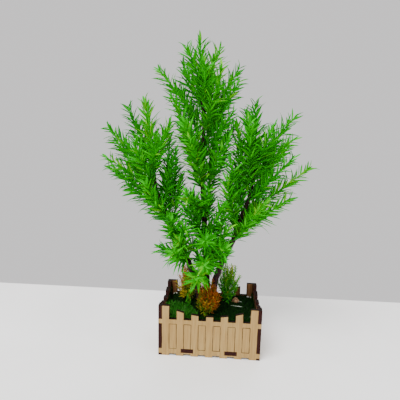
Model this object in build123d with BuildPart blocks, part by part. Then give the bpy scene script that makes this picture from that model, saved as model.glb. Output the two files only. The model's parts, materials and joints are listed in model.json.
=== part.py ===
from build123d import *
import os

# Artificial tabletop tree in a laser-cut picket-fence planter. Millimetres, +Z up, +X to the right,
# +Y to the back. The origin is the centre of the planter's outline, in the plane its feet stand on.

# Plywood and the picket grid
PLY = 3.0
PICKET = 6.0
PITCH = 12.0
FRONT_PICKETS = 7
SIDE_PICKETS = 5
CORNER_HEIGHT = 44.0
LOWER_RAIL = (1.8, 6.2)
UPPER_RAIL = (28.4, 32.4)
FRONT_DIP_HEIGHT = 36.0
FRONT_DIP_RADIUS = 89.0
SIDE_DIP_HEIGHT = 39.0
SIDE_DIP_RADIUS = 46.0
TAB_WIDTH = 9.6
FLOOR_Z = LOWER_RAIL[1] - PLY
KERF = 0.2
SLAT_TURN = 0.4

SIDE_LENGTH = (SIDE_PICKETS - 1) * PITCH + PICKET
FRONT_PICKET_SPAN = (FRONT_PICKETS - 1) * PITCH + PICKET
FRONT_WIDTH = FRONT_PICKET_SPAN + 2 * PLY
INNER_WIDTH = FRONT_WIDTH - 2 * PLY
INNER_DEPTH = SIDE_LENGTH - 2 * PLY
FRONT_TAB_X = 1.5 * PITCH

# Filling and ground cover
PLASTER_TOP = 29.0
TURF_TOP = 31.5
TURF_CORNER = 5.0
GRASS_HEIGHT = 2.5
PLANTED_DEPTH = 20.0

# Stems: centre lines from the bending point at the foot up to the last sprig
BEND_Z = 34.5
BEND_GAP = 0.3
STEM_FOOT_RADIUS = 3.0
STEM_TIP_RADIUS = 1.3
LEFT_PATH = [
    (-9, -1, BEND_Z),
    (-12, -1, 53),
    (-19, -1, 69),
    (-23, -1, 80),
    (-31, -1, 92),
    (-40, -1, 116),
    (-49, -1, 136),
    (-52, -1, 161),
]
CENTRE_PATH = [
    (-4, 6, BEND_Z),
    (-5, 5, 71),
    (-7, 4, 93),
    (-8, 4, 114),
    (-10, 4, 140),
    (-11, 4, 163),
    (-10, 4, 188),
    (-12, 3, 215),
]
RIGHT_PATH = [
    (1, -1, BEND_Z),
    (3, -1, 57),
    (9, -1, 75),
    (18, -1, 95),
    (22, -1, 110),
    (29, -1, 130),
    (34, -1, 161),
]

# Sprigs: for each knuckle of a stem (an index into its path), the tips of the sprigs plugged in there.
# The first sprig sits at the knuckle and each next one a step lower on the stem.
SPRIG_STEP = 4.0
SPRIG_ROOT_RADIUS = 0.7
SPRIG_BELLY_RADIUS = 1.4
SPRIG_TIP_RADIUS = 0.3
SPRIG_BELLY = 0.4
SPRIG_PLUG = 0.6
LEFT_SPRIGS = {
    7: [(-58, 0, 209), (-36, -6, 191), (-75, 8, 204), (-90, 0, 187), (-45, -24, 181), (-62, 22, 191)],
    6: [(-63, -24, 177), (-89, -8, 162), (-88, 14, 176), (-92, 4, 154), (-31, -11, 170), (-40, 20, 182)],
    5: [(-73, -12, 141), (-35, 18, 159), (-54, -24, 145), (-64, 20, 137), (-28, 0, 150)],
    4: [(-33, -22, 115), (-20, -26, 110), (-46, 18, 115)],
    3: [(-26, -24, 98), (-46, -10, 88), (-32, -28, 91), (-38, 20, 95)],
}
CENTRE_SPRIGS = {
    7: [(-14, 0, 255), (1, 7, 250), (-24, -12, 248), (-9, -22, 235), (-30, 16, 240), (-6, 28, 237)],
    6: [(-47, 0, 232), (18, 8, 236), (4, -16, 233), (18, -10, 223), (-32, 24, 220), (9, 26, 214)],
    5: [(-36, -12, 212), (13, -16, 199), (-24, -22, 192), (-32, 20, 193), (15, 20, 191)],
    4: [(11, -20, 181), (-20, -23, 180), (-23, 20, 178), (10, 24, 171)],
    3: [(-23, -18, 137), (-4, -15, 139), (-24, 22, 130), (-2, 22, 138)],
    2: [(-24, -20, 129), (8, -20, 129), (-5, -34, 103), (-22, 24, 123), (14, -18, 109), (12, 26, 121)],
    1: [(-6, -36, 83), (12, -24, 95), (-14, -34, 69), (-24, 22, 89), (10, 28, 87)],
}
RIGHT_SPRIGS = {
    6: [(30, 0, 209), (63, 0, 198), (44, -18, 189), (22, -8, 202), (61, -8, 180), (51, 18, 178),
        (25, -22, 194)],
    5: [(16, -6, 192), (60, -18, 166), (61, 14, 173), (11, -18, 163), (19, 22, 186)],
    4: [(78, 0, 158), (9, -20, 149), (63, -9, 134), (14, 22, 145)],
    3: [(42, 22, 134), (42, -20, 132), (35, 22, 122)],
}

# Small plants and the bark chip: foot, widest and top of each plant as (radius, height above the turf)
ORANGE_BUSH_AT = (-3, -13)
ORANGE_BUSH = [(2.5, 0), (6, 6), (7.5, 15), (5, 25), (1.5, 31)]
AMBER_BUSH_AT = (-22, 12)
AMBER_BUSH = [(2, 0), (5, 7), (7.5, 15), (6.5, 24), (3, 31), (1, 34)]
GREEN_BUSH_AT = (15, 9)
GREEN_BUSH = [(1.2, 0), (2.4, 6), (5.5, 12), (8.5, 22), (7.5, 30), (2, 37)]
YELLOW_SPRIG_AT = (-20, -1)
YELLOW_SPRIG = [(0.8, 0), (2.5, 4), (2, 8), (0.6, 11)]
CHIP_OUTLINE = [(18, 9), (24, 8), (27, 11), (23, 15), (19, 13)]
CHIP_HEIGHT = 4.5
CHIP_TAPER = 25


def save(piece, name):
    """Labels a finished piece and writes its STEP file."""
    piece.part.label = name
    export_step(piece.part, f"parts/{name}.step")


def picket_centres(count):
    """Centres of a row of pickets about the middle of the panel."""
    return [(i - (count - 1) / 2) * PITCH for i in range(count)]


def fence_profile(pickets, length, dip_height, dip_radius):
    """Adds a fence panel's pickets and rails to the sketch, x along the panel and y up from the foot."""
    for centre in picket_centres(pickets):
        with Locations((centre, CORNER_HEIGHT / 2)):
            Rectangle(PICKET, CORNER_HEIGHT)
    for bottom, top in (LOWER_RAIL, UPPER_RAIL):
        with Locations((0, (bottom + top) / 2)):
            Rectangle(length, top - bottom)
    inner_span = (pickets - 2) * PITCH
    with BuildSketch(mode=Mode.PRIVATE) as dip:
        with Locations((0, dip_height + dip_radius)):
            Circle(dip_radius)
        with Locations((0, CORNER_HEIGHT)):
            Rectangle(inner_span, 2 * (CORNER_HEIGHT - dip_height), mode=Mode.INTERSECT)
    add(dip.sketch, mode=Mode.SUBTRACT)


def cut_slots(centres):
    """Cuts the slots for the floor panel's tabs through a lower rail."""
    for centre in centres:
        with Locations((centre, FLOOR_Z + PLY / 2)):
            Rectangle(TAB_WIDTH, PLY, mode=Mode.SUBTRACT)


def front_panel(outer_face):
    """A front or rear fence panel, cut inwards from the plane of its outer face."""
    with BuildPart() as panel:
        with BuildSketch(outer_face):
            fence_profile(FRONT_PICKETS, FRONT_WIDTH, FRONT_DIP_HEIGHT, FRONT_DIP_RADIUS)
            cut_slots((-FRONT_TAB_X, FRONT_TAB_X))
        extrude(amount=-PLY)
    return panel


def side_panel(outer_face):
    """A side fence panel: its corners are notched for the ends of the front and rear rails."""
    with BuildPart() as panel:
        with BuildSketch(outer_face):
            fence_profile(SIDE_PICKETS, SIDE_LENGTH, SIDE_DIP_HEIGHT, SIDE_DIP_RADIUS)
            cut_slots((0,))
            for bottom, top in (LOWER_RAIL, UPPER_RAIL):
                with Locations(*[(end * (SIDE_LENGTH - PLY) / 2, (bottom + top) / 2) for end in (-1, 1)]):
                    Rectangle(PLY, top - bottom, mode=Mode.SUBTRACT)
        extrude(amount=-PLY)
    return panel


def infill_slats(outer_face, pickets):
    """The cut-out slats left standing in the panel's openings, each a little askew."""
    width = PITCH - PICKET - 2 * KERF
    height = UPPER_RAIL[0] - LOWER_RAIL[1] - 2 * KERF
    middle = (UPPER_RAIL[0] + LOWER_RAIL[1]) / 2
    with BuildPart() as slats:
        with BuildSketch(outer_face):
            for i, centre in enumerate(picket_centres(pickets - 1)):
                turn = SLAT_TURN * (-1) ** i
                with Locations(Location((centre, middle, 0), (0, 0, turn))):
                    Rectangle(width, height)
        extrude(amount=-PLY)
    return slats


def path_radius(path, index):
    """The stem's radius at a point of its path, tapering evenly from foot to tip."""
    return STEM_FOOT_RADIUS + (STEM_TIP_RADIUS - STEM_FOOT_RADIUS) * index / (len(path) - 1)


def point_below(path, index, distance):
    """The point on the stem's centre line that is a distance below a point of its path."""
    here = Vector(*path[index])
    while True:
        lower = Vector(*path[index - 1])
        run = (here - lower).length
        if distance <= run or index == 1:
            return here + (lower - here) * (distance / run)
        distance -= run
        index -= 1
        here = lower


def sprigs(path, index, tips):
    """The sprigs of one knuckle: slim spindles from inside the stem's skin to their tips."""
    with BuildPart() as group:
        for step, tip in enumerate(tips):
            root = point_below(path, index, step * SPRIG_STEP)
            axis = Vector(*tip) - root
            plug = axis.normalized() * (SPRIG_PLUG * path_radius(path, index))
            length = (axis - plug).length
            start = Plane(origin=root + plug, z_dir=axis)
            with Locations(start):
                Cone(SPRIG_ROOT_RADIUS, SPRIG_BELLY_RADIUS, SPRIG_BELLY * length,
                     align=(Align.CENTER, Align.CENTER, Align.MIN))
            with Locations(start.offset(SPRIG_BELLY * length)):
                Cone(SPRIG_BELLY_RADIUS, SPRIG_TIP_RADIUS, (1 - SPRIG_BELLY) * length,
                     align=(Align.CENTER, Align.CENTER, Align.MIN))
    return group


def stem(path, sprig_groups):
    """A tapering stem along its path, with a socket for each sprig and a ball end at the foot."""
    with BuildPart() as body:
        for i, point in enumerate(path):
            with Locations(point):
                Sphere(path_radius(path, i))
        for i in range(1, len(path)):
            lower = Vector(*path[i - 1])
            run = Vector(*path[i]) - lower
            with Locations(Plane(origin=lower, z_dir=run)):
                Cone(path_radius(path, i - 1), path_radius(path, i), run.length,
                     align=(Align.CENTER, Align.CENTER, Align.MIN))
        for group in sprig_groups:
            add(group.part, mode=Mode.SUBTRACT)
    return body


def planted_foot(path):
    """The length of stem that is cast into the plaster, up to just under the bending point."""
    x, y, bend_z = path[0]
    top = bend_z - STEM_FOOT_RADIUS - BEND_GAP
    with BuildPart() as foot:
        with Locations((x, y, top)):
            Cylinder(STEM_FOOT_RADIUS, PLANTED_DEPTH, align=(Align.CENTER, Align.CENTER, Align.MAX))
    return foot


def bush(place, profile):
    """A small plant as one turned solid standing on the turf."""
    x, y = place
    outline = [(radius, height) for radius, height in profile]
    top = profile[-1][1]
    with BuildPart() as plant:
        with BuildSketch(Plane(origin=(x, y, TURF_TOP), x_dir=(1, 0, 0), z_dir=(0, -1, 0))):
            with BuildLine():
                Polyline((0, top), (0, 0), *outline, close=True)
            make_face()
        revolve(axis=Axis((x, y, TURF_TOP), (0, 0, 1)))
    return plant


os.makedirs("parts", exist_ok=True)

# Fence panels and the slats left in their openings
front_face = Plane(origin=(0, -SIDE_LENGTH / 2, 0), x_dir=(1, 0, 0), z_dir=(0, -1, 0))
rear_face = Plane(origin=(0, SIDE_LENGTH / 2, 0), x_dir=(-1, 0, 0), z_dir=(0, 1, 0))
left_face = Plane(origin=(-FRONT_WIDTH / 2, 0, 0), x_dir=(0, -1, 0), z_dir=(-1, 0, 0))
right_face = Plane(origin=(FRONT_WIDTH / 2, 0, 0), x_dir=(0, 1, 0), z_dir=(1, 0, 0))
for side, face in (("front", front_face), ("rear", rear_face)):
    save(front_panel(face), f"{side}_fence")
    save(infill_slats(face, FRONT_PICKETS), f"{side}_slats")
for side, face in (("left", left_face), ("right", right_face)):
    save(side_panel(face), f"{side}_fence")
    save(infill_slats(face, SIDE_PICKETS), f"{side}_slats")

with BuildPart() as floor_panel:
    with BuildSketch(Plane.XY.offset(FLOOR_Z)):
        Rectangle(INNER_WIDTH, INNER_DEPTH)
        with Locations((-FRONT_TAB_X, 0), (FRONT_TAB_X, 0)):
            Rectangle(TAB_WIDTH, SIDE_LENGTH)
        Rectangle(FRONT_WIDTH, TAB_WIDTH)
    extrude(amount=PLY)
save(floor_panel, "floor_panel")

# Stems, their planted feet and their sprigs
feet = []
for side, path, sprig_tips in (
    ("left", LEFT_PATH, LEFT_SPRIGS),
    ("centre", CENTRE_PATH, CENTRE_SPRIGS),
    ("right", RIGHT_PATH, RIGHT_SPRIGS),
):
    groups = []
    for index, tips in sprig_tips.items():
        group = sprigs(path, index, tips)
        save(group, f"{side}_sprigs_{index}")
        groups.append(group)
    save(stem(path, groups), f"{side}_stem")
    foot = planted_foot(path)
    save(foot, f"{side}_stem_foot")
    feet.append(foot)

# Plaster ballast, turf and the plants on it
with BuildPart() as plaster_fill:
    with BuildSketch(Plane.XY.offset(FLOOR_Z + PLY)):
        Rectangle(INNER_WIDTH, INNER_DEPTH)
    extrude(amount=PLASTER_TOP - FLOOR_Z - PLY)
    for foot in feet:
        add(foot.part, mode=Mode.SUBTRACT)
save(plaster_fill, "plaster_fill")

with BuildPart() as turf_mat:
    with BuildSketch(Plane.XY.offset(PLASTER_TOP)) as turf_outline:
        Rectangle(INNER_WIDTH, INNER_DEPTH)
        chamfer(turf_outline.vertices().group_by(Axis.Y)[-1], TURF_CORNER)
    extrude(amount=TURF_TOP - PLASTER_TOP)
    for foot in feet:
        add(foot.part, mode=Mode.SUBTRACT)
save(turf_mat, "turf_mat")

with BuildPart() as grass_patch:
    with BuildSketch(Plane.XY.offset(TURF_TOP)):
        with BuildLine():
            Polyline((-38.8, -23.8), (-10, -23.8))
            Spline((-10, -23.8), (-13, -14), (-22, -6), (-38.8, -2))
            Line((-38.8, -2), (-38.8, -23.8))
        make_face()
    extrude(amount=GRASS_HEIGHT)
save(grass_patch, "grass_patch")

with BuildPart() as bark_chip:
    with BuildSketch(Plane.XY.offset(TURF_TOP)):
        with BuildLine():
            Polyline(*CHIP_OUTLINE, close=True)
        make_face()
    extrude(amount=CHIP_HEIGHT, taper=CHIP_TAPER)
save(bark_chip, "bark_chip")

save(bush(ORANGE_BUSH_AT, ORANGE_BUSH), "orange_bush")
save(bush(AMBER_BUSH_AT, AMBER_BUSH), "amber_bush")
save(bush(GREEN_BUSH_AT, GREEN_BUSH), "green_bush")
save(bush(YELLOW_SPRIG_AT, YELLOW_SPRIG), "yellow_sprig")
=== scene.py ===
import json
import math
import random

import bmesh
import bpy
from mathutils import Matrix, Vector, noise


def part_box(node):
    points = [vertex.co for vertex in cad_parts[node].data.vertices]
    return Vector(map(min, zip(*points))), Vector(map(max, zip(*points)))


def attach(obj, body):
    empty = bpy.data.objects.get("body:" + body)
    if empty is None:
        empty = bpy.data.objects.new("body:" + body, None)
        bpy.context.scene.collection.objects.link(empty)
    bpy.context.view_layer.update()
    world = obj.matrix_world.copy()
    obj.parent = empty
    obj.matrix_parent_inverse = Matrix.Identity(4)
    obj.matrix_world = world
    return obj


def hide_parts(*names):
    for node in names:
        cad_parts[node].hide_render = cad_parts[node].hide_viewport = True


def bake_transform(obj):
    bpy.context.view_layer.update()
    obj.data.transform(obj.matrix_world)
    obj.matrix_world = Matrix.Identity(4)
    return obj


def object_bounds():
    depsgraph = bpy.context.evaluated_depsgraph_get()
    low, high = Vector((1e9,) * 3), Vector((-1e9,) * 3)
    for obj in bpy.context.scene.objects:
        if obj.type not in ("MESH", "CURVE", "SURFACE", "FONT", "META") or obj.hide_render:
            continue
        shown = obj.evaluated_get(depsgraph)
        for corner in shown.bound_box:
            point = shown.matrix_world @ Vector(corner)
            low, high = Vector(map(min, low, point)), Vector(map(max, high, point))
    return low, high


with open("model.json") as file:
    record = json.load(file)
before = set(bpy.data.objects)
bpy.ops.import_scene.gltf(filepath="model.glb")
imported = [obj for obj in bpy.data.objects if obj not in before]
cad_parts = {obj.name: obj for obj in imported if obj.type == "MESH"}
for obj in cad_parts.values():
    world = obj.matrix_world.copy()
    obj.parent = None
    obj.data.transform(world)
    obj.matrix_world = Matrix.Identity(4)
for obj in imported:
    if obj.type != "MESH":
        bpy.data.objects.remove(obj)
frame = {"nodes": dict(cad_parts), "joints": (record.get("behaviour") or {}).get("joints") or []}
cad_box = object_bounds()

MM = 0.001
NODES = frame["nodes"]
SIDES = ("left", "centre", "right")
UP = Vector((0, 0, 1))
GOLDEN_ANGLE = math.radians(137.5)
WELD = 1e-6


# ---------------------------------------------------------------- mesh helpers

# A leaf's cross-sections: how far along the leaf each one is, and its share of the full width.
LEAF_SECTIONS = ((0.0, 0.34), (0.2, 0.86), (0.45, 1.0), (0.75, 0.74))
LEAF_CORNERS = 4
LEAF_KEEL = 0.3
SPINDLE_END = 2.2 * MM


def clamped(value):
    return min(1.0, max(0.0, value))


class Blades:
    """Collects many small leaves and stalks into one mesh, with a tint and a root-to-tip value per point."""

    def __init__(self):
        self.points = []
        self.faces = []
        self.tints = []
        self.alongs = []

    def add_ring(self, ring, tint, along):
        """Adds points that share a tint and a place along the leaf, and returns their numbers."""
        first = len(self.points)
        self.points.extend(ring)
        self.tints.extend([tint] * len(ring))
        self.alongs.extend([along] * len(ring))
        return list(range(first, first + len(ring)))

    def leaf(self, root, direction, side, length, width, curl=0.0, tint=0.5, fold=0.32):
        """A pointed blade folded along its midrib. curl bends it up or, below 0, back and down."""
        normal = side.cross(direction).normalized()
        rings = []
        for t, share in LEAF_SECTIONS:
            centre = root + direction * (length * t) + normal * (curl * length * t * t)
            half = 0.5 * width * share
            ring = [centre - side * half + normal * (fold * half), centre,
                    centre + side * half + normal * (fold * half), centre - normal * (LEAF_KEEL * half)]
            rings.append(self.add_ring(ring, tint, t))
        tip = self.add_ring([root + direction * length + normal * (curl * length)], tint, 1.0)[0]
        for low, high in zip(rings, rings[1:]):
            for i in range(LEAF_CORNERS):
                j = (i + 1) % LEAF_CORNERS
                self.faces.append((low[i], low[j], high[j], high[i]))
        last = rings[-1]
        for i in range(LEAF_CORNERS):
            self.faces.append((last[i], last[(i + 1) % LEAF_CORNERS], tip))
        self.faces.append(tuple(reversed(rings[0])))

    def stalk(self, path, radii, tint=0.5, sides=6):
        """A tapering round stalk through the points of a path."""
        rings = []
        for i, centre in enumerate(path):
            run = path[min(i + 1, len(path) - 1)] - path[max(i - 1, 0)]
            across = run.orthogonal().normalized()
            other = run.normalized().cross(across)
            ring = []
            for k in range(sides):
                turn = 2 * math.pi * k / sides
                ring.append(centre + (across * math.cos(turn) + other * math.sin(turn)) * radii[i])
            rings.append(self.add_ring(ring, tint, 0.0))
        for low, high in zip(rings, rings[1:]):
            for i in range(sides):
                j = (i + 1) % sides
                self.faces.append((low[i], low[j], high[j], high[i]))
        self.faces.append(tuple(reversed(rings[0])))
        self.faces.append(tuple(rings[-1]))

    def build(self, name, material):
        mesh = bpy.data.meshes.new(name)
        mesh.from_pydata([tuple(p) for p in self.points], [], self.faces)
        for label, values in (("tint", self.tints), ("along", self.alongs)):
            layer = mesh.attributes.new(label, "FLOAT", "POINT")
            layer.data.foreach_set("value", values)
        mesh.materials.append(material)
        mesh.update()
        piece = bpy.data.objects.new(name, mesh)
        bpy.context.scene.collection.objects.link(piece)
        return piece


def mesh_piece(name, bm, material):
    mesh = bpy.data.meshes.new(name)
    bm.to_mesh(mesh)
    bm.free()
    for face in mesh.polygons:
        face.use_smooth = True
    mesh.materials.append(material)
    piece = bpy.data.objects.new(name, mesh)
    bpy.context.scene.collection.objects.link(piece)
    return piece


def islands(node):
    """The separate solids of a CAD node, each as a list of points."""
    bm = bmesh.new()
    bm.from_mesh(NODES[node].data)
    bmesh.ops.remove_doubles(bm, verts=bm.verts, dist=WELD)
    unseen = set(bm.verts)
    found = []
    while unseen:
        start = min(unseen, key=lambda v: v.index)
        unseen.discard(start)
        island = [start]
        for vertex in island:
            for edge in vertex.link_edges:
                other = edge.other_vert(vertex)
                if other in unseen:
                    unseen.discard(other)
                    island.append(other)
        found.append([v.co.copy() for v in island])
    bm.free()
    return found


def spindle_axis(points):
    """Root and tip of a spindle: its two far ends, the thicker one first."""
    middle = sum(points, Vector()) / len(points)
    one = max(points, key=lambda p: (p - middle).length)
    two = max(points, key=lambda p: (p - one).length)
    ends = []
    for end in (one, two):
        near = [p for p in points if (p - end).length < SPINDLE_END]
        centre = sum(near, Vector()) / len(near)
        spread = max((p - centre).length for p in near)
        ends.append((spread, centre))
    ends.sort(key=lambda e: -e[0])
    return ends[0][1], ends[1][1]


def turned(direction, angle, turn):
    """A unit vector at an angle from a direction, turned about it, and the vector across the two."""
    side = direction.orthogonal().normalized()
    side.rotate(Matrix.Rotation(turn, 3, direction))
    outward = direction.cross(side).normalized()
    return (direction * math.cos(angle) + outward * math.sin(angle)).normalized(), side


def finish_node(node, material):
    """Gives a carried-over CAD node its material."""
    for slot in NODES[node].material_slots:
        slot.material = material


# ---------------------------------------------------------------- materials

class Material:
    """A principled material with short ways to add the nodes that colour and roughen it."""

    def __init__(self, name, roughness=0.5, **sockets):
        self.material = bpy.data.materials.new(name)
        self.material.use_nodes = True
        self.tree = self.material.node_tree
        self.shader = self.tree.nodes["Principled BSDF"]
        self.shader.inputs["Roughness"].default_value = roughness
        for socket, value in sockets.items():
            self.shader.inputs[socket.replace("_", " ")].default_value = value
        self.coordinates = self.tree.nodes.new("ShaderNodeTexCoord")

    def node(self, kind, inputs=None, **settings):
        new = self.tree.nodes.new(kind)
        for key, value in settings.items():
            setattr(new, key, value)
        for key, value in (inputs or {}).items():
            if isinstance(value, bpy.types.NodeSocket):
                self.tree.links.new(value, new.inputs[key])
            else:
                new.inputs[key].default_value = value
        return new

    def mapped(self, scale):
        inputs = {"Vector": self.coordinates.outputs["Object"], "Scale": scale}
        return self.node("ShaderNodeMapping", inputs).outputs[0]

    def noise(self, scale, detail=3.0, stretch=(1, 1, 1)):
        inputs = {"Vector": self.mapped(stretch), "Scale": scale, "Detail": detail}
        return self.node("ShaderNodeTexNoise", inputs).outputs["Fac"]

    def attribute(self, name):
        return self.node("ShaderNodeAttribute", attribute_name=name).outputs["Fac"]

    def ramp(self, value, stops):
        new = self.node("ShaderNodeValToRGB", {"Fac": value})
        elements = new.color_ramp.elements
        while len(elements) < len(stops):
            elements.new(0.5)
        for element, (place, colour) in zip(elements, stops):
            element.position = place
            element.color = (*colour, 1.0)
        return new.outputs["Color"]

    def level(self, value, low, high, to_low=0.0, to_high=1.0):
        inputs = {"Value": value, "From Min": low, "From Max": high, "To Min": to_low, "To Max": to_high}
        return self.node("ShaderNodeMapRange", inputs).outputs["Result"]

    def mix(self, factor, one, two):
        new = self.node("ShaderNodeMix", data_type="RGBA")
        for socket, value in ((new.inputs[0], factor), (new.inputs[6], one), (new.inputs[7], two)):
            if isinstance(value, tuple):
                socket.default_value = (*value, 1.0)
            else:
                self.tree.links.new(value, socket)
        return new.outputs[2]

    def maths(self, operation, one, two=0.0):
        return self.node("ShaderNodeMath", {0: one, 1: two}, operation=operation).outputs[0]

    def finish(self, colour, bump, strength, distance):
        self.tree.links.new(colour, self.shader.inputs["Base Color"])
        inputs = {"Height": bump, "Strength": strength, "Distance": distance}
        normal = self.node("ShaderNodeBump", inputs).outputs["Normal"]
        self.tree.links.new(normal, self.shader.inputs["Normal"])
        return self.material


PICKET_PITCH = 12 * MM
PICKET_WIDTH = 6 * MM
SLAT_BOTTOM = 6.2 * MM
SLAT_TOP = 28.4 * MM
TAB_WIDTH = 9.6 * MM
TAB_HEIGHT = 4.7 * MM
TAB_THICKNESS = 3 * MM
UPPER_RAIL = 4 * MM
NO_TAB = 1.0
# How far the tabs are from the middle of a panel, by the axis that the panel faces.
TAB_PLACE = {0: 0.0, 1: 18 * MM, 2: NO_TAB}
# Each burn is full up to the first distance from its cut and gone at the second.
CUT_BURN = (0.1 * MM, 0.42 * MM)
# Round the tab slots the darkening is partly char and partly the slots' painted shadow.
TAB_CHAR_AND_SHADOW = (0.22 * MM, 0.5 * MM)
INNER_BURN = (0.2 * MM, 1.6 * MM)


def plywood(name, outward):
    """Laser-cut plywood: pale outer face, brown inner face, charred edges painted darker where they face up
    as shade, scorched lines by the cuts, and a dark halo round the tab slots, partly char and partly painted
    shadow.
    """
    m = Material(name, roughness=0.8, Specular_IOR_Level=0.1)
    split = m.node("ShaderNodeSeparateXYZ", {0: m.coordinates.outputs["Normal"]})
    axis = max(range(3), key=lambda i: abs(outward[i]))
    facing = m.maths("MULTIPLY", split.outputs[axis], float(outward[axis]))
    grain = m.noise(900, detail=4, stretch=(1, 1, 0.06))
    patches = m.noise(60, detail=2)
    pale = m.ramp(grain, [(0.3, (0.290, 0.180, 0.062)), (0.62, (0.390, 0.258, 0.098))])
    pale = m.mix(m.level(patches, 0.35, 0.7, 0.0, 0.4), pale, (0.325, 0.190, 0.064))
    brown = m.ramp(grain, [(0.3, (0.11, 0.046, 0.016)), (0.7, (0.24, 0.110, 0.042))])
    soot = m.noise(1200, detail=3, stretch=(1, 1, 3))
    char = m.ramp(soot, [(0.3, (0.011, 0.003, 0.002)), (0.75, (0.040, 0.0095, 0.0075))])

    place = m.node("ShaderNodeSeparateXYZ", {0: m.coordinates.outputs["Object"]})
    along_panel = place.outputs[0 if axis == 1 else 1]
    from_picket = m.maths("PINGPONG", along_panel, PICKET_PITCH / 2)
    from_side = m.maths("ABSOLUTE", m.maths("SUBTRACT", from_picket, PICKET_WIDTH / 2))
    height = place.outputs["Z"]
    from_top = m.maths("ABSOLUTE", m.maths("SUBTRACT", height, SLAT_TOP))
    from_bottom = m.maths("ABSOLUTE", m.maths("SUBTRACT", height, SLAT_BOTTOM))
    in_gap = m.maths("GREATER_THAN", from_picket, PICKET_WIDTH / 2)
    from_end = m.maths("MINIMUM", from_top, from_bottom)
    across = m.maths("MULTIPLY", m.level(from_end, *CUT_BURN, 1.0, 0.0), in_gap)
    above_rail = m.maths("GREATER_THAN", height, SLAT_TOP + UPPER_RAIL)
    over_foot = m.maths("GREATER_THAN", height, SLAT_BOTTOM)
    under_rail = m.maths("LESS_THAN", height, SLAT_TOP)
    between_rails = m.maths("MULTIPLY", over_foot, under_rail)
    cut_here = m.maths("MAXIMUM", above_rail, between_rails)
    upright = m.maths("MULTIPLY", m.level(from_side, *CUT_BURN, 1.0, 0.0), cut_here)
    uneven = m.level(m.noise(110, detail=3), 0.38, 0.58, 0.3, 1.0)
    scorch = m.maths("MULTIPLY", m.maths("MAXIMUM", across, upright), uneven)
    pale = m.mix(scorch, pale, (0.034, 0.015, 0.008))
    from_middle = m.maths("ABSOLUTE", along_panel)
    from_tab = m.maths("ABSOLUTE", m.maths("SUBTRACT", from_middle, TAB_PLACE[axis]))
    from_level = m.maths("ABSOLUTE", m.maths("SUBTRACT", height, TAB_HEIGHT))
    beside_tab = m.maths("SUBTRACT", from_tab, TAB_WIDTH / 2)
    over_tab = m.maths("SUBTRACT", from_level, TAB_THICKNESS / 2)
    # A dark halo round each tab slot: char, widened into painted shadow.
    char_and_shadow_halo = m.level(m.maths("MAXIMUM", beside_tab, over_tab), *TAB_CHAR_AND_SHADOW, 1.0, 0.0)
    pale = m.mix(char_and_shadow_halo, pale, (0.030, 0.009, 0.007))
    brown = m.mix(m.level(from_side, *INNER_BURN, 0.85, 0.0), brown, (0.02, 0.010, 0.005))

    face = m.mix(m.level(facing, -0.6, 0.6), brown, pale)
    edge = m.maths("LESS_THAN", m.maths("ABSOLUTE", facing), 0.5)
    # Upward-facing cut edges are painted darker than the others: char, with painted shade on the tops of the
    # rails and pickets.
    char = m.mix(m.level(split.outputs["Z"], 0.3, 0.8, 0.0, 0.85), char, (0.006, 0.003, 0.002))
    return m.finish(m.mix(edge, face, char), bump=grain, strength=0.15, distance=0.08 * MM)


def leaf_material(name, stops, tip, roughness=0.38, specular=0.5):
    """Moulded plastic leaves: a colour for each leaf from its tint, lighter towards its tip."""
    m = Material(name, roughness=roughness)
    colour = m.ramp(m.attribute("tint"), stops)
    mottled = m.mix(m.level(m.noise(450, detail=2), 0.35, 0.7, 0.0, 0.35), colour, stops[0][1])
    tipped = m.mix(m.level(m.attribute("along"), 0.35, 1.0, 0.0, 0.6), mottled, tip)
    m.shader.inputs["Specular IOR Level"].default_value = specular
    return m.finish(tipped, bump=m.noise(1500, detail=2), strength=0.1, distance=0.05 * MM)


def bark_material():
    m = Material("stem_bark", roughness=0.7, Specular_IOR_Level=0.15)
    inputs = {"Vector": m.coordinates.outputs["Object"], "Scale": 260.0, "Distortion": 3.0, "Detail": 2.0}
    rings = m.node("ShaderNodeTexWave", inputs, bands_direction="Z").outputs["Fac"]
    rough = m.noise(900, detail=4)
    colour = m.ramp(rough, [(0.3, (0.008, 0.003, 0.004)), (0.7, (0.036, 0.013, 0.015))])
    height = m.maths("ADD", m.maths("MULTIPLY", rings, 0.5), rough)
    return m.finish(colour, bump=height, strength=0.6, distance=0.3 * MM)


def plaster_material():
    m = Material("plaster", roughness=0.85)
    lumps = m.noise(500, detail=5)
    colour = m.ramp(lumps, [(0.3, (0.36, 0.33, 0.29)), (0.7, (0.62, 0.58, 0.54))])
    return m.finish(colour, bump=lumps, strength=0.6, distance=0.4 * MM)


def chip_material():
    m = Material("bark_chip", roughness=0.7)
    lumps = m.noise(420, detail=5, stretch=(1, 2.5, 1))
    stops = [(0.3, (0.10, 0.045, 0.018)), (0.55, (0.34, 0.17, 0.075)), (0.75, (0.55, 0.34, 0.19))]
    colour = m.ramp(lumps, stops)
    return m.finish(colour, bump=lumps, strength=0.7, distance=0.5 * MM)


def floor_material():
    m = Material("floor", roughness=0.6)
    m.shader.inputs["Emission Color"].default_value = (1.0, 0.99, 0.98, 1.0)
    m.shader.inputs["Emission Strength"].default_value = 0.05
    tone = m.ramp(m.noise(12, detail=3), [(0.3, (0.86, 0.85, 0.84)), (0.7, (0.92, 0.91, 0.905))])
    return m.finish(tone, bump=m.noise(700, detail=3), strength=0.1, distance=0.1 * MM)


# ---------------------------------------------------------------- leafy sprigs

LEAF_LENGTH = 13.6 * MM
LEAF_WIDTH = 1.7 * MM
WHORL_GAP = 2.45 * MM
FEWEST_WHORLS = 5
FIRST_WHORL = 0.09
WHORL_CROWDING = 1.2
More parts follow.
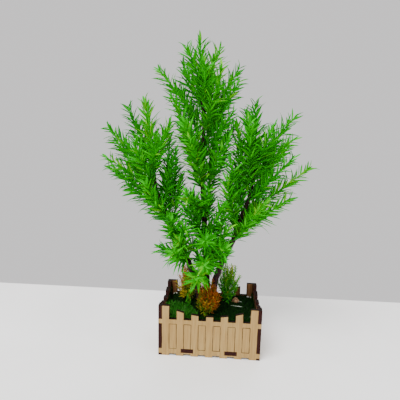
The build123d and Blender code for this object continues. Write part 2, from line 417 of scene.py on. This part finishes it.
# How many leaves a whorl has: each number counts up to that share of the sprig's length.
WHORL_LEAVES = ((0.55, 5), (0.8, 4), (0.96, 3), (math.inf, 2))
YELLOW_LEAF_SHARE = 0.05
YELLOW_LEAF_TINT = 0.35
TWIG_RADIUS = 0.75 * MM
TWIG_STEPS = 8
TWIG_BOW = 0.035
SPRIG_END = 2.0 * MM
FIRST_SPRIG_SEED = 100

# Yellower (above 0) and darker (below 0) sprigs: the place of each one's tip in millimetres, and its change.
TINTED_SPRIGS = (
    ((-58, 0, 209), 0.28),
    ((-75, 8, 204), -0.2),
    ((-32, 20, 193), 0.25),
    ((-24, -22, 192), 0.15),
    ((1, 7, 250), 0.15),
    ((16, -6, 192), 0.15),
    ((-26, -24, 98), 0.15),
)
TINTED_WITHIN = 5 * MM

leaf_green = leaf_material(
    "leaf_green",
    [(0.0, (0.005, 0.14, 0.002)), (0.4, (0.013, 0.34, 0.004)), (0.75, (0.042, 0.46, 0.006)),
     (1.0, (0.18, 0.56, 0.008))],
    tip=(0.008, 0.22, 0.003),
    roughness=0.6,
    specular=0.08,
)


def tint_change(tip):
    """How much the sprig that ends at this tip is tinted away from the others."""
    changes = [change for place, change in TINTED_SPRIGS
               if (tip - Vector(place) * MM).length < TINTED_WITHIN]
    return max(changes, default=0.0, key=abs)


def leaf_share(t):
    """How long the leaves are along the sprig: longest at three eighths of it, half of that at its tip."""
    return 0.58 + 0.58 * math.sin(math.pi * (0.2 + 0.8 * t))


def sprig(blades, rng, root, tip):
    """One leafy sprig along its CAD spindle: a bowed twig with whorls of folded, arching leaves."""
    axis = tip - root
    length = axis.length - SPRIG_END
    direction = axis.normalized()
    sideways = turned(direction, math.pi / 2, rng.uniform(0, 2 * math.pi))[0]
    bow = sideways * (TWIG_BOW * length * rng.uniform(0.3, 1.0))

    def place(t):
        return root + direction * (length * t) + bow * math.sin(math.pi * t)

    path = [place(i / TWIG_STEPS) for i in range(TWIG_STEPS + 1)]
    radii = [TWIG_RADIUS * (1 - 0.5 * i / TWIG_STEPS) for i in range(TWIG_STEPS + 1)]
    blades.stalk(path, radii, tint=0.35)
    sprig_tint = rng.gauss(0.5, 0.10) + tint_change(tip)
    whorls = max(FEWEST_WHORLS, round(length * 0.94 / WHORL_GAP))
    for i in range(whorls + 1):
        t = FIRST_WHORL + (1 - FIRST_WHORL) * (i / whorls) ** WHORL_CROWDING
        here = place(t)
        along = (place(min(1.0, t + 0.02)) - place(t - 0.02)).normalized()
        angle = math.radians(42 - 12 * t)
        size = leaf_share(t)
        count = next(leaves for limit, leaves in WHORL_LEAVES if t < limit)
        for k in range(count):
            turn = i * GOLDEN_ANGLE + 2 * math.pi * k / count + rng.gauss(0, 0.2)
            leaf_direction, side = turned(along, angle + rng.gauss(0, 0.13), turn)
            side.rotate(Matrix.Rotation(rng.gauss(0, 0.6), 3, leaf_direction))
            leaf_tint = sprig_tint + rng.gauss(0, 0.14)
            if rng.random() < YELLOW_LEAF_SHARE:
                leaf_tint += YELLOW_LEAF_TINT
            blades.leaf(here, leaf_direction, side, LEAF_LENGTH * size * rng.uniform(0.75, 1.15),
                        LEAF_WIDTH * rng.uniform(0.75, 1.15), curl=rng.gauss(-0.20, 0.15),
                        tint=clamped(leaf_tint))


def sprig_group(node, seed):
    """All the leafy sprigs of one CAD node, in one piece."""
    rng = random.Random(seed)
    blades = Blades()
    for points in islands(node):
        root, tip = spindle_axis(points)
        sprig(blades, rng, root, tip)
    piece = blades.build(node.replace("sprigs", "leaves"), leaf_green)
    side = node.split("_")[0]
    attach(piece, f"{side}_tree")
    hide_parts(node)


sprig_nodes = sorted(name for name in NODES if "_sprigs_" in name)
for number, name in enumerate(sprig_nodes):
    sprig_group(name, FIRST_SPRIG_SEED + number)


# ---------------------------------------------------------------- stems

bark = bark_material()
for side in SIDES:
    for node in (f"{side}_stem", f"{side}_stem_foot"):
        finish_node(node, bark)

FOOT_SLEEVE_LENGTH = 9 * MM
FOOT_SLEEVE_SIDES = 20
FOOT_SLEEVE_RINGS = 12
FOOT_SLEEVE_BURIED = 2.5 * MM
FOOT_SLEEVE_WRAP = 0.12 * MM


def foot_sleeve(side):
    """The wrapping over the bend at a stem's foot, which stays in the turf."""
    low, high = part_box(f"{side}_stem_foot")
    joint = next(j for j in frame["joints"] if j["child"] == f"{side}_tree")
    bend = Vector(joint["pos_m"])
    radius = (high[0] - low[0]) / 2
    start_z = high[2] - FOOT_SLEEVE_BURIED
    bm = bmesh.new()
    rings = []
    for i in range(FOOT_SLEEVE_RINGS + 1):
        t = i / FOOT_SLEEVE_RINGS
        z = start_z + FOOT_SLEEVE_LENGTH * t
        ring = []
        for k in range(FOOT_SLEEVE_SIDES):
            turn = 2 * math.pi * k / FOOT_SLEEVE_SIDES
            wrap = FOOT_SLEEVE_WRAP * math.sin(turn + 18 * t)
            r = radius + (0.35 - 0.18 * t) * MM + wrap
            ring.append(bm.verts.new((bend.x + r * math.cos(turn), bend.y + r * math.sin(turn), z)))
        rings.append(ring)
    for lower, upper in zip(rings, rings[1:]):
        for k in range(FOOT_SLEEVE_SIDES):
            j = (k + 1) % FOOT_SLEEVE_SIDES
            bm.faces.new((lower[k], lower[j], upper[j], upper[k]))
    bm.faces.new(tuple(reversed(rings[0])))
    bm.faces.new(tuple(rings[-1]))
    piece = mesh_piece(f"{side}_foot_sleeve", bm, bark)
    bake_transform(piece)


for side in SIDES:
    foot_sleeve(side)


# ---------------------------------------------------------------- planter

OUTWARD = {"front": (0, -1, 0), "rear": (0, 1, 0), "left": (-1, 0, 0), "right": (1, 0, 0)}
for side, outward in OUTWARD.items():
    wood = plywood(f"plywood_{side}", outward)
    for node in (f"{side}_fence", f"{side}_slats"):
        finish_node(node, wood)
finish_node("floor_panel", plywood("plywood_floor", (0, 0, -1)))
plaster = plaster_material()
finish_node("plaster_fill", plaster)


# Crumbs of the filling: where each one lies on the turf and its radius, in millimetres.
CRUMBS = ((-33.5, 22.4, 1.2), (-35.8, 22.7, 0.8), (34.2, 22.4, 1.1), (36.6, 22.0, 0.8))
CRUMB_SEED = 15


def plaster_crumbs():
    """Lumps of the white filling that show through the turf at the rear corners."""
    rng = random.Random(CRUMB_SEED)
    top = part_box("turf_mat")[1][2]
    bm = bmesh.new()
    for x, y, size in CRUMBS:
        lump = bmesh.ops.create_icosphere(bm, subdivisions=3, radius=size * MM)["verts"]
        seed = rng.uniform(0, 50)
        for vertex in lump:
            push = 1 + 0.45 * noise.noise(vertex.co / (0.8 * MM) + Vector((seed, 0, 0)))
            vertex.co = Vector((vertex.co.x * push, vertex.co.y * push * 0.8, vertex.co.z * push * 0.75))
            vertex.co += Vector((x * MM, y * MM, top + 0.15 * size * MM))
    piece = mesh_piece("plaster_crumbs", bm, plaster)
    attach(piece, "planter")


plaster_crumbs()


# ---------------------------------------------------------------- turf and grass

turf_material = leaf_material(
    "turf",
    [(0.0, (0.001, 0.006, 0.001)), (0.5, (0.003, 0.018, 0.002)), (1.0, (0.008, 0.045, 0.004))],
    tip=(0.008, 0.045, 0.004),
    roughness=0.8,
    specular=0.03,
)
grass_material = leaf_material(
    "grass",
    [(0.0, (0.004, 0.040, 0.001)), (0.5, (0.010, 0.094, 0.003)), (1.0, (0.030, 0.17, 0.005))],
    tip=(0.026, 0.18, 0.007),
    roughness=0.5,
    specular=0.15,
)


def footprint_test(node):
    """A test for whether a point lies over the flat top of a CAD node, from its upward faces."""
    mesh = NODES[node].data
    triangles = []
    for face in mesh.polygons:
        if face.normal.z > 0.9:
            triangles.append([mesh.vertices[i].co.xy for i in face.vertices])

    def inside(x, y):
        for a, b, c in triangles:
            d1 = (x - b.x) * (a.y - b.y) - (a.x - b.x) * (y - b.y)
            d2 = (x - c.x) * (b.y - c.y) - (b.x - c.x) * (y - c.y)
            d3 = (x - a.x) * (c.y - a.y) - (c.x - a.x) * (y - a.y)
            if not ((d1 < 0 or d2 < 0 or d3 < 0) and (d1 > 0 or d2 > 0 or d3 > 0)):
                return True
        return False

    return inside


def ground_height(x, y):
    """How far the mat's surface is above or below the CAD slab's top: wide swells and small lumps."""
    swell = 0.9 * MM * noise.noise(Vector((x, y, 0)) / (9 * MM))
    return swell + 0.35 * MM * noise.noise(Vector((x, y, 5)) / (2.5 * MM))


# The share of the way to the slab's middle that points are moved when tested, so that edges count as inside.
EDGE_INSET = 0.002
GRASS_BLADE_WIDTH = 0.55 * MM
TURF_SEED = 11
GRASS_SEED = 12


def ground_cover(name, node, material, spacing, blade, lean, seed):
    """A lumpy mat over a CAD slab with short plastic blades standing in it."""
    rng = random.Random(seed)
    low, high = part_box(node)
    inside = footprint_test(node)
    middle_x, middle_y = (low[0] + high[0]) / 2, (low[1] + high[1]) / 2
    blades = Blades()
    columns = round((high[0] - low[0]) / spacing)
    rows = round((high[1] - low[1]) / spacing)
    grid = {}
    for i in range(columns + 1):
        for j in range(rows + 1):
            x = low[0] + (high[0] - low[0]) * i / columns
            y = low[1] + (high[1] - low[1]) * j / rows
            if inside(x + (middle_x - x) * EDGE_INSET, y + (middle_y - y) * EDGE_INSET):
                z = high[2] + ground_height(x, y)
                grid[i, j] = blades.add_ring([Vector((x, y, z))], 0.3, 0.0)[0]
    for (i, j), index in grid.items():
        corners = [grid.get(c) for c in ((i, j), (i + 1, j), (i + 1, j + 1), (i, j + 1))]
        if None not in corners:
            blades.faces.append(tuple(corners))
    for (i, j) in list(grid):
        x = low[0] + (high[0] - low[0]) * (i + rng.uniform(-0.5, 0.5)) / columns
        y = low[1] + (high[1] - low[1]) * (j + rng.uniform(-0.5, 0.5)) / rows
        x = min(high[0] - 0.5 * MM, max(low[0] + 0.5 * MM, x))
        y = min(high[1] - 0.5 * MM, max(low[1] + 0.5 * MM, y))
        root = Vector((x, y, high[2] - 0.4 * MM + ground_height(x, y)))
        direction, side = turned(UP, math.radians(rng.uniform(*lean)), rng.uniform(0, 2 * math.pi))
        blades.leaf(root, direction, side, blade * rng.uniform(0.6, 1.2),
                    GRASS_BLADE_WIDTH * rng.uniform(0.7, 1.3), curl=rng.uniform(-0.3, 0.3),
                    tint=clamped(rng.gauss(0.5, 0.22)))
    piece = blades.build(name, material)
    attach(piece, "planter")
    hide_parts(node)


ground_cover("turf_surface", "turf_mat", turf_material, 1.15 * MM, 2.4 * MM, (25, 75), TURF_SEED)
ground_cover("grass_surface", "grass_patch", grass_material, 0.85 * MM, 4.2 * MM, (5, 55),
             GRASS_SEED)


TUFTS_PER_SIDE = 170
TUFT_SEED = 13


def edge_tufts():
    """Longer dark blades where the turf curls up against the two side panels."""
    rng = random.Random(TUFT_SEED)
    low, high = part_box("turf_mat")
    blades = Blades()
    for edge, inward in ((low[0], 1), (high[0], -1)):
        for _ in range(TUFTS_PER_SIDE):
            y = low[1] + (high[1] - low[1]) * rng.random()
            rise = (1.5 + 5.5 * (y - low[1]) / (high[1] - low[1])) * MM if inward > 0 else 3.0 * MM
            x = edge + inward * rng.uniform(0.5, 1.6) * MM
            root = Vector((x, y, high[2] - 0.5 * MM + rise * rng.random()))
            lean = Vector((-inward * rng.uniform(0.0, 0.25), rng.uniform(-0.7, 0.7), 1.0)).normalized()
            side = lean.cross(Vector((inward, rng.uniform(-0.5, 0.5), 0))).normalized()
            blades.leaf(root, lean, side, rng.uniform(2.0, 3.6) * MM, 0.8 * MM,
                        curl=rng.uniform(-0.2, 0.2), tint=clamped(rng.gauss(0.55, 0.3)))
    piece = blades.build("edge_tufts", turf_material)
    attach(piece, "planter")


edge_tufts()


FRINGE_BLADES = 190
FRINGE_MARGIN = 0.5 * MM


def front_fringe(name, material, left, right, length, seed):
    """Upright blades along the front panel, which close the gap behind its upper rail."""
    rng = random.Random(seed)
    low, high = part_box("turf_mat")
    blades = Blades()
    for _ in range(FRINGE_BLADES):
        x = left + (right - left) * rng.random()
        root = Vector((x, low[1] + rng.uniform(0.3, 1.6) * MM, high[2] - 0.6 * MM))
        direction = Vector((rng.uniform(-0.5, 0.5), rng.uniform(-0.1, 0.4), 1.0)).normalized()
        side = direction.cross(Vector((rng.uniform(-0.5, 0.5), -1.0, 0.0))).normalized()
        # These blades' tints run lighter than the mat's: painted light over the shade behind the front
        # panel's rail.
        blades.leaf(root, direction, side, length * rng.uniform(0.7, 1.2), 0.6 * MM,
                    curl=rng.uniform(-0.2, 0.2), tint=clamped(rng.gauss(0.7, 0.2)))
    piece = blades.build(name, material)
    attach(piece, "planter")


front_fringe("grass_fringe", grass_material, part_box("turf_mat")[0][0] + FRINGE_MARGIN,
             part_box("grass_patch")[1][0], length=4.4 * MM, seed=16)
front_fringe("turf_fringe", turf_material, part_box("grass_patch")[1][0],
             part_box("turf_mat")[1][0] - FRINGE_MARGIN, length=3.0 * MM, seed=17)


# Pale blades that paint the highlight streak on the turf: where each one starts and its length, in
# millimetres, and its tint.
HIGHLIGHT_BLADES = ((17.5, 1.0, 11.0, 0.62), (33.0, -17.5, 3.0, 0.5), (24.0, 9.0, 4.0, 0.25))
HIGHLIGHT_BLADE_SEED = 14


def highlight_blades():
    """One long and two short shiny blades lying on the turf at the right, their pale colour a painted
    highlight: the streak of light on the glossy turf.
    """
    rng = random.Random(HIGHLIGHT_BLADE_SEED)
    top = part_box("turf_mat")[1][2]
    # Pale grey-green to near white: a painted highlight, not the blades' own colour.
    shiny = leaf_material(
        "streak_highlight_paint",
        [(0.0, (0.02, 0.05, 0.015)), (1.0, (0.30, 0.38, 0.26))],
        tip=(0.55, 0.60, 0.50),
        roughness=0.2,
    )
    blades = Blades()
    for x, y, length, tint in HIGHLIGHT_BLADES:
        direction = Vector((1.0, rng.uniform(-0.25, 0.15), 0.05)).normalized()
        side = direction.cross(Vector((0.0, -0.5, 1.0))).normalized()
        root = Vector((x * MM, y * MM, top + 1.6 * MM))
        blades.leaf(root, direction, side, length * MM, 0.6 * MM, curl=-0.05, tint=tint, fold=0.3)
    piece = blades.build("highlight_blades", shiny)
    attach(piece, "planter")


highlight_blades()


# ---------------------------------------------------------------- small plants

LOWEST_TWIG = 0.14
FEWEST_LEAVES = 8
LEAF_GAP_SHARE = 0.16
LEAF_WIDTH_SHARE = 0.15
STALK_RADII = [0.8 * MM, 0.55 * MM, 0.25 * MM]
TWIG_RADII = [0.32 * MM, 0.24 * MM, 0.12 * MM]


def small_plant(name, node, material, twigs, leaf, seed, tints, spread=1.0, top=0.97, front=-1.0):
    """A little feathery bush: twigs from the stalk to about the CAD solid's outline, each with fine leaves.

    tints: a leaf's tint at the foot, then its change up the plant, out along its twig, and to the right.
    spread: how far the twigs reach, as a share of the outline. top: how far up it the highest twig ends.
    front: no twig ends nearer the front than this y."""
    rng = random.Random(seed)
    low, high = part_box(node)
    foot = Vector(((low[0] + high[0]) / 2, (low[1] + high[1]) / 2, low[2]))
    height = high[2] - low[2]
    vertices = NODES[node].data.vertices
    outline = sorted(((v.co.z - low[2]) / height, (v.co.xy - foot.xy).length) for v in vertices)

    def outline_radius(level):
        same = 1e-4
        below = max((p for p in outline if p[0] <= level + same), key=lambda p: (round(p[0], 3), p[1]))
        above = min((p for p in outline if p[0] >= level - same), key=lambda p: (round(p[0], 3), -p[1]))
        if above[0] - below[0] < same:
            return below[1]
        return below[1] + (above[1] - below[1]) * (level - below[0]) / (above[0] - below[0])

    blades = Blades()
    blades.stalk([foot, foot + UP * (0.35 * height), foot + UP * (0.6 * height)], STALK_RADII, tint=0.1)
    for i in range(twigs):
        rise = LOWEST_TWIG + (top - LOWEST_TWIG) * (i + 0.5) / twigs
        turn = i * GOLDEN_ANGLE + rng.gauss(0, 0.3)
        out = Vector((math.cos(turn), math.sin(turn), 0))
        reach = outline_radius(rise) * spread * (0.35 + 0.75 * rng.random() ** 0.6)
        end = foot + UP * (height * (rise + rng.uniform(-0.05, 0.05))) + out * reach
        end.y = max(end.y, front)
        start = foot + UP * (height * 0.45 * rise)
        middle = (start + end) / 2 + out * (0.18 * reach) - UP * (0.03 * height)
        blades.stalk([start, middle, end], TWIG_RADII, tint=0.15, sides=4)
        twig_tint = rng.gauss(0, 0.12)
        count = max(FEWEST_LEAVES, round((end - start).length / (LEAF_GAP_SHARE * leaf)))
        for k in range(count):
            t = 0.25 + 0.75 * k / (count - 1)
            here = start.lerp(middle, t * 2) if t < 0.5 else middle.lerp(end, t * 2 - 1)
            run = (middle - start if t < 0.5 else end - middle).normalized()
            angle = math.radians(rng.uniform(22, 52))
            direction, side = turned(run, angle, k * GOLDEN_ANGLE + rng.gauss(0, 0.3))
            tint = tints[0] + tints[1] * rise + tints[2] * t + tints[3] * out.x + twig_tint
            tint += rng.gauss(0, 0.08)
            blades.leaf(here, direction, side, leaf * rng.uniform(0.6, 1.2) * (1.1 - 0.4 * t),
                        LEAF_WIDTH_SHARE * leaf * rng.uniform(0.8, 1.3), curl=rng.uniform(-0.25, 0.15),
                        tint=clamped(tint))
    piece = blades.build(name, material)
    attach(piece, "planter")
    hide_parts(node)


rusty = leaf_material(
    "rusty_leaves",
    [(0.0, (0.03, 0.18, 0.004)), (0.2, (0.12, 0.20, 0.005)), (0.4, (0.34, 0.14, 0.005)),
     (0.65, (0.40, 0.060, 0.006)), (1.0, (0.22, 0.028, 0.005))],
    tip=(0.34, 0.085, 0.006),
    specular=0.15,
)
amber = leaf_material(
    "amber_leaves",
    [(0.0, (0.03, 0.20, 0.004)), (0.3, (0.18, 0.32, 0.006)), (0.6, (0.52, 0.32, 0.010)),
     (1.0, (0.62, 0.19, 0.008))],
    tip=(0.50, 0.32, 0.010),
    specular=0.2,
)
fresh = leaf_material(
    "fresh_leaves",
    [(0.0, (0.009, 0.19, 0.004)), (0.45, (0.025, 0.38, 0.006)), (0.68, (0.14, 0.42, 0.006)),
     (0.82, (0.42, 0.42, 0.010)), (1.0, (0.55, 0.28, 0.010))],
    tip=(0.10, 0.36, 0.006),
    specular=0.2,
)
small_plant("orange_bush_leaves", "orange_bush", rusty, twigs=78, leaf=4.4 * MM, seed=21,
            tints=(-0.05, 0.95, 0.0, 0.22), spread=1.35, top=0.90)
small_plant("amber_bush_leaves", "amber_bush", amber, twigs=66, leaf=4.4 * MM, seed=22,
            tints=(0.0, 0.50, 0.30, -0.25), spread=1.3)
small_plant("green_bush_leaves", "green_bush", fresh, twigs=66, leaf=4.6 * MM, seed=23,
            tints=(-0.10, 0.52, 0.40, 0.05), spread=1.3, front=5 * MM)
small_plant("yellow_sprig_leaves", "yellow_sprig", fresh, twigs=10, leaf=3.0 * MM, seed=24,
            tints=(0.45, 0.1, 0.2, 0.0))

CHIP_ROUNDING = 0.7 * MM
CHIP_ROUGHNESS = 0.35 * MM


def bark_chip():
    """The chip with rounded, broken faces in place of the CAD block's flat ones."""
    bm = bmesh.new()
    bm.from_mesh(NODES["bark_chip"].data)
    bmesh.ops.remove_doubles(bm, verts=bm.verts, dist=WELD)
    bmesh.ops.dissolve_limit(bm, angle_limit=math.radians(2), verts=bm.verts, edges=bm.edges)
    bmesh.ops.bevel(bm, geom=bm.edges[:], offset=CHIP_ROUNDING, segments=2, affect="EDGES")
    bmesh.ops.triangulate(bm, faces=bm.faces)
    bmesh.ops.subdivide_edges(bm, edges=bm.edges[:], cuts=3, use_grid_fill=True)
    bm.normal_update()
    for vertex in bm.verts:
        lump = noise.noise(vertex.co / (2.4 * MM)) + 0.4 * noise.noise(vertex.co / (0.9 * MM))
        vertex.co += vertex.normal * (CHIP_ROUGHNESS * lump)
    piece = mesh_piece("bark_chip_stone", bm, chip_material())
    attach(piece, "planter")
    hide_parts("bark_chip")


bark_chip()


# ---------------------------------------------------------------- stage, lights and camera

# The floor ends where the wall would stand, and the pale backdrop shows beyond it.
WALL_Y = 93 * MM
FLOOR_HALF = 2.5
BACKDROP = (0.93, 0.91, 0.915)
BACKDROP_STRENGTH = 0.95

bm = bmesh.new()
bmesh.ops.create_grid(bm, x_segments=2, y_segments=2, size=FLOOR_HALF)
floor = mesh_piece("floor", bm, floor_material())
floor.location = (0, WALL_Y - FLOOR_HALF, cad_box[0][2] - 0.05 * MM)

world = bpy.data.worlds.new("studio")
world.use_nodes = True
background = world.node_tree.nodes["Background"]
background.inputs["Color"].default_value = (*BACKDROP, 1.0)
background.inputs["Strength"].default_value = BACKDROP_STRENGTH
bpy.context.scene.world = world


def area_light(name, place, aim, size, power):
    light = bpy.data.lights.new(name, "AREA")
    light.size = size
    light.energy = power
    lamp = bpy.data.objects.new(name, light)
    lamp.location = place
    lamp.rotation_euler = (Vector(aim) - Vector(place)).to_track_quat("-Z", "Y").to_euler()
    bpy.context.scene.collection.objects.link(lamp)


area_light("key", place=(-0.45, -0.55, 1.15), aim=(0, 0, 0.05), size=0.7, power=27.0)
area_light("fill", place=(0.8, -0.5, 0.5), aim=(0, 0, 0.1), size=0.8, power=4.0)
area_light("back", place=(0.2, 0.9, 0.8), aim=(0, 0, 0.1), size=0.8, power=4.0)

CAMERA_PLACE = (6.4 * MM, -283.5 * MM, 178.9 * MM)
CAMERA_PITCH = math.radians(10.28)
CAMERA_YAW = math.radians(-3.65)
CAMERA_ROLL = math.radians(-1.29)
CAMERA_LENS = 30.9
CAMERA_SENSOR = 36.0
CAMERA_NEAREST = 10 * MM

lens = bpy.data.cameras.new("camera")
lens.lens = CAMERA_LENS
lens.sensor_width = CAMERA_SENSOR
lens.clip_start = CAMERA_NEAREST
camera = bpy.data.objects.new("camera", lens)
level = math.cos(CAMERA_PITCH)
ahead = Vector((math.sin(CAMERA_YAW) * level, math.cos(CAMERA_YAW) * level, -math.sin(CAMERA_PITCH)))
flat_right = Vector((math.cos(CAMERA_YAW), -math.sin(CAMERA_YAW), 0))
flat_down = ahead.cross(flat_right)
right = flat_right * math.cos(CAMERA_ROLL) + flat_down * math.sin(CAMERA_ROLL)
down = flat_down * math.cos(CAMERA_ROLL) - flat_right * math.sin(CAMERA_ROLL)
turn = Matrix((right, -down, -ahead)).transposed().to_4x4()
camera.matrix_world = Matrix.Translation(CAMERA_PLACE) @ turn
bpy.context.scene.collection.objects.link(camera)
bpy.context.scene.camera = camera
